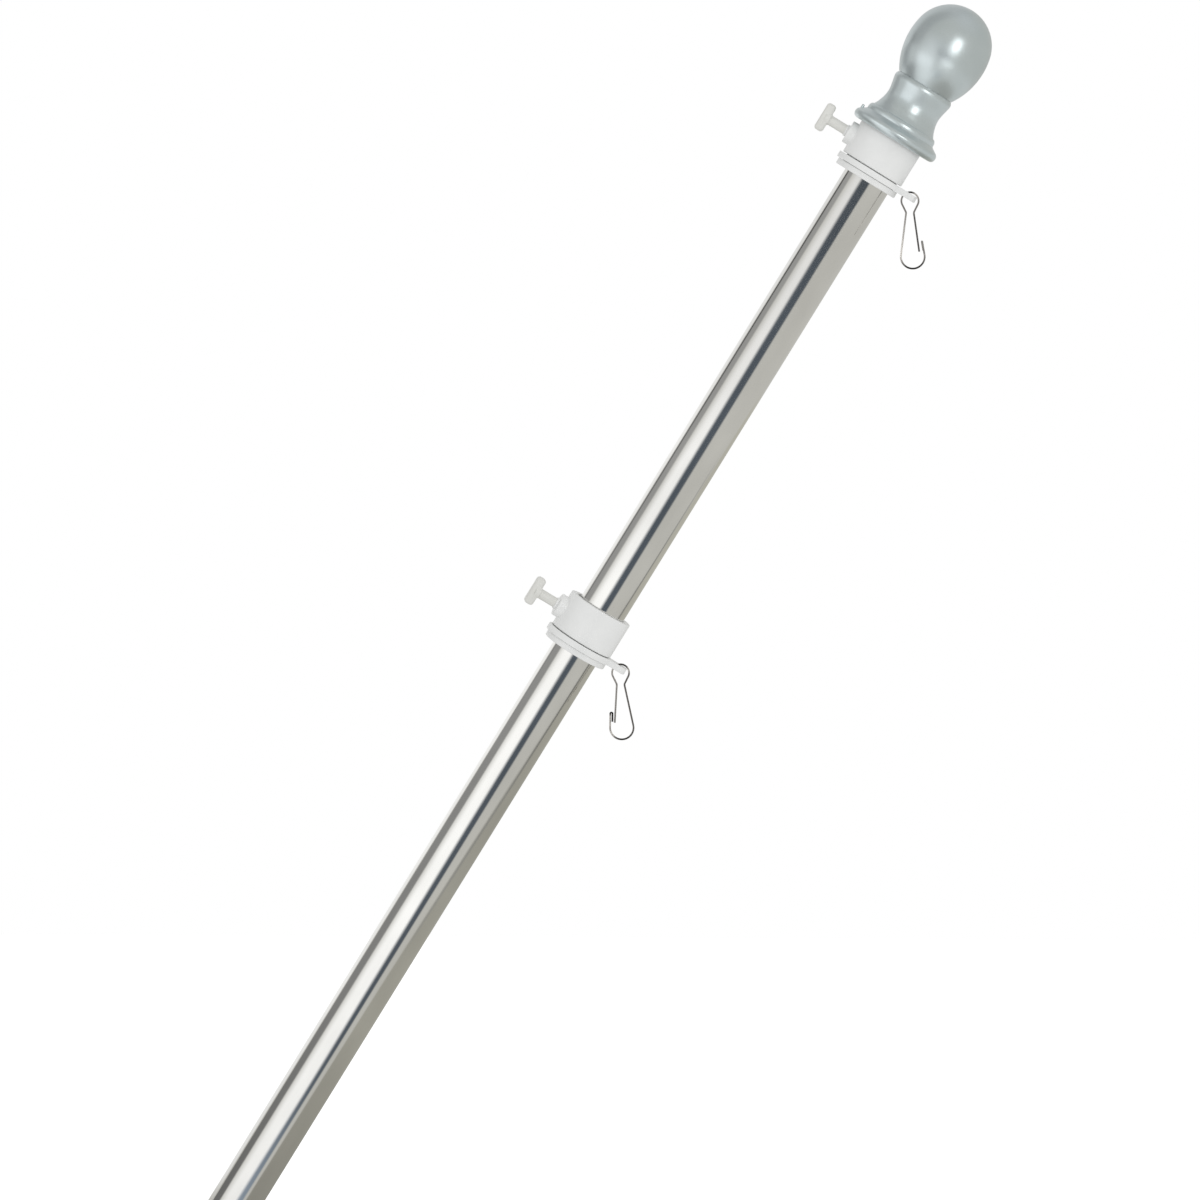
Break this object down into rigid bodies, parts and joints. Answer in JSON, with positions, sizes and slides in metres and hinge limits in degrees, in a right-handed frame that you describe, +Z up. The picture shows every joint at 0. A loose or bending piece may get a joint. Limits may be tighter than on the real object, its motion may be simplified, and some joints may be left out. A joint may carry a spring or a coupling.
{
  "type": "leaning house flagpole with anti-wrap flag rings",
  "caption": "House flagpole of polished steel tube with a silver ball finial and spinning flag rings that carry T thumbscrews and wire clips.",
  "frame": {"origin": "centre of the butt's end face", "axes": "+Z up. The pole rises from the origin in the X-Z plane, 31.7 degrees from +Z towards +X, as it stands in an angled house bracket. The flag rings' clips hang plumb from its underside."},
  "size_m": [0.8218, 0.0481, 1.3065],
  "materials": {
    "polished_tube": "polished stainless steel with fine lengthwise lines",
    "silver_paint": "satin silver paint on moulded plastic",
    "white_plastic": "cool white moulded plastic, satin",
    "screw_plastic": "slightly warmer white moulded plastic",
    "spring_wire": "bright nickel-plated spring wire",
    "black_plastic": "black moulded end plug"
  },
  "bodies": {
    "pole": {"upper_tube": "polished_tube", "lower_tube": "polished_tube", "butt_cap": "black_plastic", "finial_base": "silver_paint", "finial_ball": "silver_paint"},
    "upper_collar_body": {"upper_collar": "white_plastic", "upper_retainer": "white_plastic"},
    "upper_ring_body": {"upper_spin_ring": "white_plastic"},
    "upper_screw_body": {"upper_thumbscrew": "screw_plastic"},
    "upper_clip_body": {"upper_clip": "spring_wire"},
    "lower_collar_body": {"lower_collar": "white_plastic", "lower_retainer": "white_plastic"},
    "lower_ring_body": {"lower_spin_ring": "white_plastic"},
    "lower_screw_body": {"lower_thumbscrew": "screw_plastic"},
    "lower_clip_body": {"lower_clip": "spring_wire"}
  },
  "joints": [
    {"name": "upper_collar_slide", "type": "slide", "parent": "pole", "child": "upper_collar_body", "axis": [0.5255, 0, 0.8508], "range_m": [-0.1, 0]},
    {"name": "upper_ring_spin", "type": "hinge", "parent": "upper_collar_body", "child": "upper_ring_body", "pos_m": [0.74871, 0, 1.21416], "axis": [0.5255, 0, 0.8508], "continuous": true},
    {"name": "upper_screw_turn", "type": "hinge", "parent": "upper_collar_body", "child": "upper_screw_body", "pos_m": [0.73794, 0, 1.2348], "axis": [-0.8508, 0, 0.5255], "range_deg": [0, 720]},
    {"name": "upper_clip_swing", "type": "hinge", "parent": "upper_ring_body", "child": "upper_clip_body", "pos_m": [0.76927, -0.00722, 1.19953], "axis": [0, 1, 0], "range_deg": [-40, 25]},
    {"name": "lower_collar_slide", "type": "slide", "parent": "pole", "child": "lower_collar_body", "axis": [0.5255, 0, 0.8508], "range_m": [-0.7, 0.1]},
    {"name": "lower_ring_spin", "type": "hinge", "parent": "lower_collar_body", "child": "lower_ring_body", "pos_m": [0.5989, -0.00012, 0.97101], "axis": [0.5255, 0, 0.8508], "continuous": true},
    {"name": "lower_screw_turn", "type": "hinge", "parent": "lower_collar_body", "child": "lower_screw_body", "pos_m": [0.58839, -0.0036, 0.99148], "axis": [-0.8379, -0.1736, 0.5175], "range_deg": [0, 720]},
    {"name": "lower_clip_swing", "type": "hinge", "parent": "lower_ring_body", "child": "lower_clip_body", "pos_m": [0.62032, -0.00012, 0.95584], "axis": [0, 1, 0], "range_deg": [-40, 25]}
  ]
}
